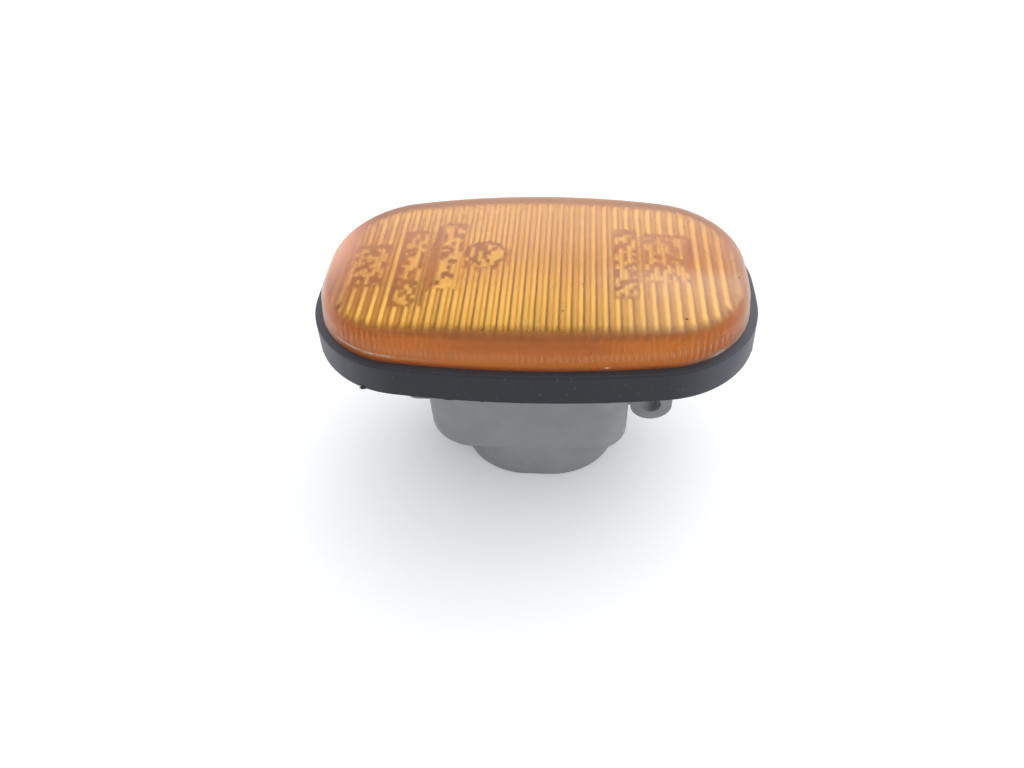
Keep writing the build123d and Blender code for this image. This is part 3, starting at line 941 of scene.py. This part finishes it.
class LAMP_OT_rubber(bpy.types.Operator):
    """Dress the gasket and the holder's seal"""

    bl_idname = "lamp.rubber"
    bl_label = "Rubber Parts"

    def execute(self, context):
        rubber = black_rubber(context.scene.lamp_finish)
        paint("gasket", rubber)
        paint("holder_seal", rubber)
        points = point_mesh("flash_points", FLASH_BITS)
        flash = grown("gasket_flash", points, flash_tree(), rubber, {"Thickness": FLASH_THICKNESS})
        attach(flash, BODY)
        return {"FINISHED"}


class LAMP_OT_housing(bpy.types.Operator):
    """Dress the moulded housing"""

    bl_idname = "lamp.housing"
    bl_label = "Housing"

    def execute(self, context):
        paint("housing", grey_plastic(context.scene.lamp_finish))
        return {"FINISHED"}


class LAMP_OT_bulb(bpy.types.Operator):
    """Dress the bulb, its holder and the contacts"""

    bl_idname = "lamp.bulb"
    bl_label = "Bulb and Holder"

    def execute(self, context):
        finish = context.scene.lamp_finish
        paint("bulb_holder", plain_moulding("holder_plastic", finish.holder_grey, 0.45))
        brass = metal("contact_brass", finish.brass, 0.3)
        wire = metal("lead_wire", finish.wire, 0.35)
        for side in ("left", "right"):
            paint(f"contact_{side}", brass)
            paint(f"bulb_lead_{side}", wire)
        paint("bulb_glass", clear_glass())
        low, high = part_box("bulb_filament")
        sizes = {"Turns": COIL_TURNS, "Radius": COIL_RADIUS, "Wire": COIL_WIRE,
                 "Length": high.x - low.x, "Middle": (low + high) / 2}
        coil = grown("filament_coil", bpy.data.meshes.new("coil_start"), coil_tree(), wire, sizes)
        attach(coil, BODY)
        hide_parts("bulb_filament")
        return {"FINISHED"}


class LAMP_OT_stage(bpy.types.Operator):
    """Set up floor, light and camera"""

    bl_idname = "lamp.stage"
    bl_label = "Stage"

    def execute(self, context):
        stage = context.scene.lamp_stage
        scene = context.scene
        scene.view_settings.view_transform = "Standard"
        self.floor(stage)
        self.light(stage)
        self.camera(scene, stage)
        return {"FINISHED"}

    def floor(self, stage):
        mesh = bpy.data.meshes.new("floor")
        level = cad_box[0][2]
        turns = ((-1, -1), (1, -1), (1, 1), (-1, 1))
        corners = [(x * FLOOR_HALF, y * FLOOR_HALF, level) for x, y in turns]
        mesh.from_pydata(corners, [], [(0, 1, 2, 3)])
        material, graph, shader = new_material("floor_white")
        cloud = graph.noise(graph.place(), 30.0, 3.0, 0.6)
        white = rgba(stage.floor_white)
        rays = graph.node("ShaderNodeLightPath").outputs
        seen = graph.total(rays["Is Camera Ray"], rays["Is Glossy Ray"], rays["Is Transmission Ray"])
        seen = graph.math("MINIMUM", seen, 1.0)
        paper = graph.mix(cloud, white, rgba(stage.floor_white, 0.98))
        graph.feed(shader.inputs["Base Color"], graph.mix(seen, paper, WHITE))
        graph.feed(shader.inputs["Roughness"], 0.8)
        graph.feed(shader.inputs["Emission Color"], graph.mix(seen, BLACK, WHITE))
        graph.feed(shader.inputs["Emission Strength"], stage.floor_lift)
        link("floor", mesh, material)

    def light(self, stage):
        world = bpy.data.worlds.new("studio")
        world.use_nodes = True
        graph = Graph(world.node_tree)
        background = world.node_tree.nodes["Background"]
        direction = graph.node("ShaderNodeTexCoord").outputs["Generated"]
        slope = graph.dot(direction, stage.sky_slope)
        window = graph.remap(graph.dot(direction, stage.window_side), *WINDOW_REACH, 0.0, stage.window)
        shade = graph.remap(graph.dot(direction, (0.0, -1.0, 0.0)), *SHADE_REACH, 0.0, -stage.shade)
        graph.feed(background.inputs["Color"], SKY_COLOUR)
        graph.feed(background.inputs["Strength"], graph.total(stage.sky, slope, window, shade))
        bpy.context.scene.world = world

    def camera(self, scene, stage):
        lens = bpy.data.cameras.new("camera")
        lens.sensor_width = 36.0
        lens.lens = stage.focal_pixels * lens.sensor_width / IMAGE_WIDTH
        lens.clip_start = 0.005
        camera = bpy.data.objects.new("camera", lens)
        camera.location = stage.camera_place
        camera.rotation_euler = stage.camera_turn
        scene.collection.objects.link(camera)
        scene.camera = camera


class LAMP_PT_panel(bpy.types.Panel):
    """Lists the lamp's pieces and settings"""

    bl_idname = "LAMP_PT_panel"
    bl_label = "Side Repeater Lamp"
    bl_space_type = "VIEW_3D"
    bl_region_type = "UI"
    bl_category = "Lamp"

    def draw(self, context):
        layout = self.layout
        for operator in OPERATORS:
            layout.operator(operator.bl_idname)
        for settings in (context.scene.lamp_finish, context.scene.lamp_stage):
            for name in settings.__annotations__:
                layout.prop(settings, name)


OPERATORS = (LAMP_OT_lens, LAMP_OT_rubber, LAMP_OT_housing, LAMP_OT_bulb, LAMP_OT_stage)
CLASSES = (LampFinishSettings, LampStageSettings, *OPERATORS, LAMP_PT_panel)


def register():
    for entry in CLASSES:
        bpy.utils.register_class(entry)
    bpy.types.Scene.lamp_finish = PointerProperty(type=LampFinishSettings)
    bpy.types.Scene.lamp_stage = PointerProperty(type=LampStageSettings)


def unregister():
    del bpy.types.Scene.lamp_stage
    del bpy.types.Scene.lamp_finish
    for entry in reversed(CLASSES):
        bpy.utils.unregister_class(entry)


def main():
    register()
    bpy.ops.lamp.lens()
    bpy.ops.lamp.rubber()
    bpy.ops.lamp.housing()
    bpy.ops.lamp.bulb()
    bpy.ops.lamp.stage()


if __name__ == "__main__":
    main()
